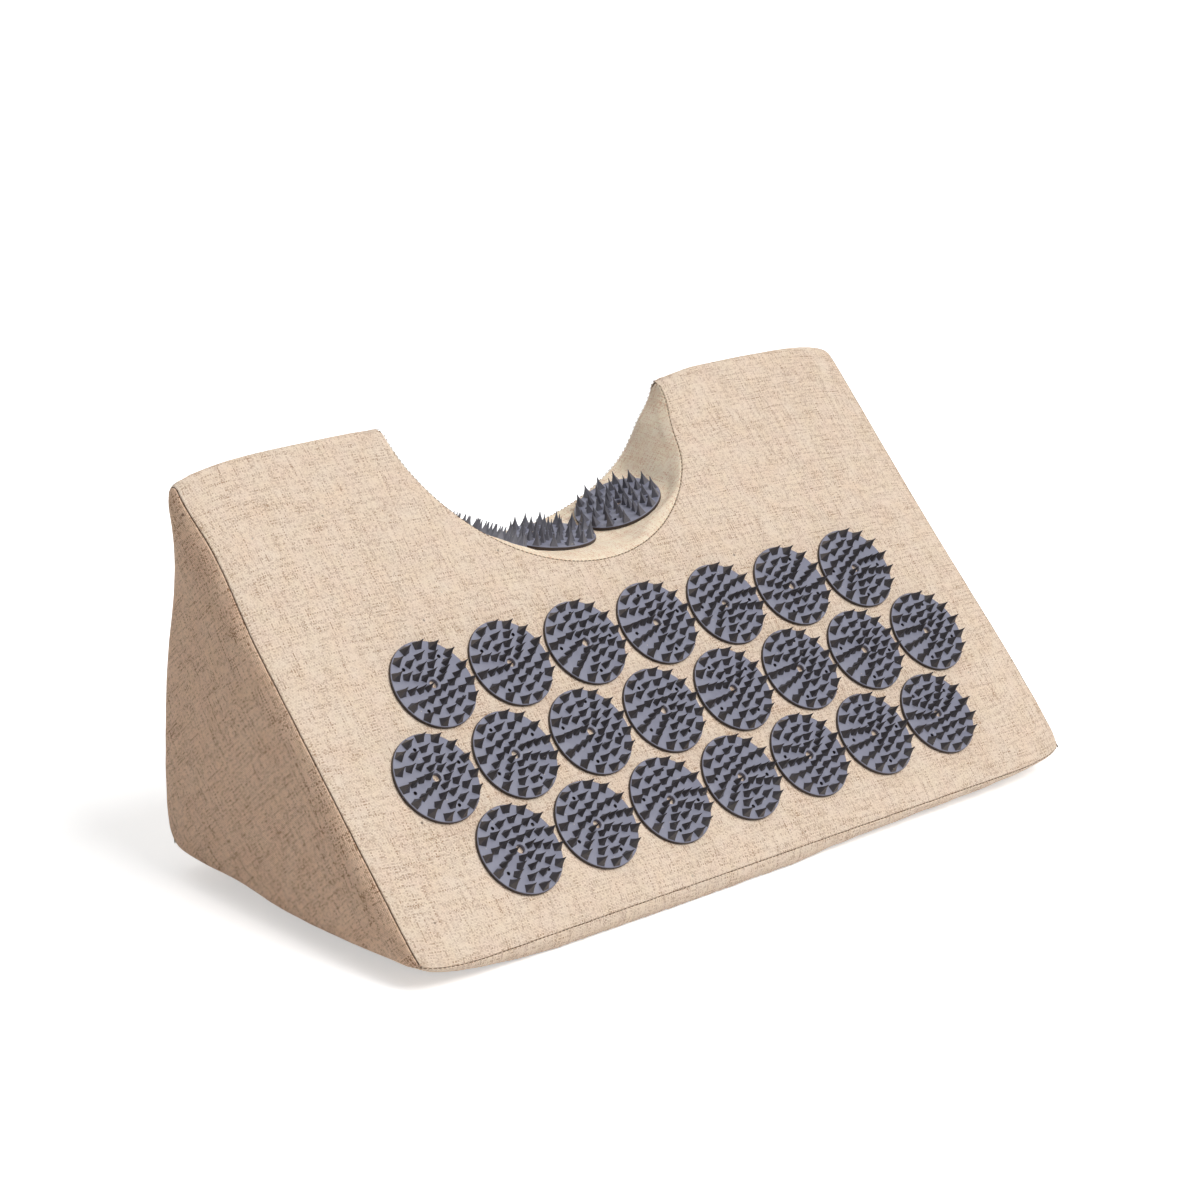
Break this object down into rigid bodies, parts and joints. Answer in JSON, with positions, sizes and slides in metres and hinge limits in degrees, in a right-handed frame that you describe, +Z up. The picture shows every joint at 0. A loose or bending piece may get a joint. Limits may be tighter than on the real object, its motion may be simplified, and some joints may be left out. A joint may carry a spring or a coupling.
{
  "type": "acupressure neck wedge",
  "caption": "Foam wedge in a zipped linen cover with a round neck recess; spiked plastic discs on its slope and in the recess press on the back and neck.",
  "frame": {"origin": "middle of the flat of the belly that it rests on, on the floor", "axes": "+Z up, the slope with the discs faces -Y, +X along the wedge's width"},
  "size_m": [0.406, 0.1747, 0.1756],
  "materials": {
    "linen": "natural unbleached linen, plain weave with slubs and dark flecks",
    "linen_recess": "the same linen, a little rubbed, as the lining of the recess",
    "foam": "cut open-cell foam, hidden in the cover",
    "disc_plastic": "moulded slate-grey plastic, satin, darker at the rim and the spike tips",
    "backing_plastic": "moulded black plastic, hidden behind the cloth",
    "zip_cloth": "woven polyester tape and coil, beige",
    "zip_metal": "die-cast slider and pull, nickel plated, worn satin"
  },
  "bodies": {
    "wedge": {"backing_lower_1": "backing_plastic", "backing_lower_2": "backing_plastic", "backing_lower_3": "backing_plastic", "backing_lower_4": "backing_plastic", "backing_lower_5": "backing_plastic", "backing_lower_6": "backing_plastic", "backing_lower_7": "backing_plastic", "backing_middle_1": "backing_plastic", "backing_middle_2": "backing_plastic", "backing_middle_3": "backing_plastic", "backing_middle_4": "backing_plastic", "backing_middle_5": "backing_plastic", "backing_middle_6": "backing_plastic", "backing_middle_7": "backing_plastic", "backing_middle_8": "backing_plastic", "backing_neck_1": "backing_plastic", "backing_neck_2": "backing_plastic", "backing_neck_3": "backing_plastic", "backing_upper_1": "backing_plastic", "backing_upper_2": "backing_plastic", "backing_upper_3": "backing_plastic", "backing_upper_4": "backing_plastic", "backing_upper_5": "backing_plastic", "backing_upper_6": "backing_plastic", "backing_upper_7": "backing_plastic", "bottom_panel": "linen", "disc_lower_1": "disc_plastic", "disc_lower_2": "disc_plastic", "disc_lower_3": "disc_plastic", "disc_lower_4": "disc_plastic", "disc_lower_5": "disc_plastic", "disc_lower_6": "disc_plastic", "disc_lower_7": "disc_plastic", "disc_middle_1": "disc_plastic", "disc_middle_2": "disc_plastic", "disc_middle_3": "disc_plastic", "disc_middle_4": "disc_plastic", "disc_middle_5": "disc_plastic", "disc_middle_6": "disc_plastic", "disc_middle_7": "disc_plastic", "disc_middle_8": "disc_plastic", "disc_neck_1": "disc_plastic", "disc_neck_2": "disc_plastic", "disc_neck_3": "disc_plastic", "disc_upper_1": "disc_plastic", "disc_upper_2": "disc_plastic", "disc_upper_3": "disc_plastic", "disc_upper_4": "disc_plastic", "disc_upper_5": "disc_plastic", "disc_upper_6": "disc_plastic", "disc_upper_7": "disc_plastic", "end_panel_left": "linen", "end_panel_right": "linen", "foam_core": "foam", "recess_liner": "linen_recess", "wrap_panel": "linen", "zip_tape": "zip_cloth"},
    "slider": {"zip_slider": "zip_metal"},
    "pull": {"zip_pull": "zip_metal"}
  },
  "joints": [
    {"name": "zip_slide", "type": "slide", "parent": "wedge", "child": "slider", "axis": [-1, 0, 0], "range_m": [0, 0.279]},
    {"name": "pull_swing", "type": "hinge", "parent": "slider", "child": "pull", "pos_m": [0.1395, 0.0892, 0.01989], "axis": [0, -0.2409, -0.9706], "range_deg": [0, 180]}
  ]
}
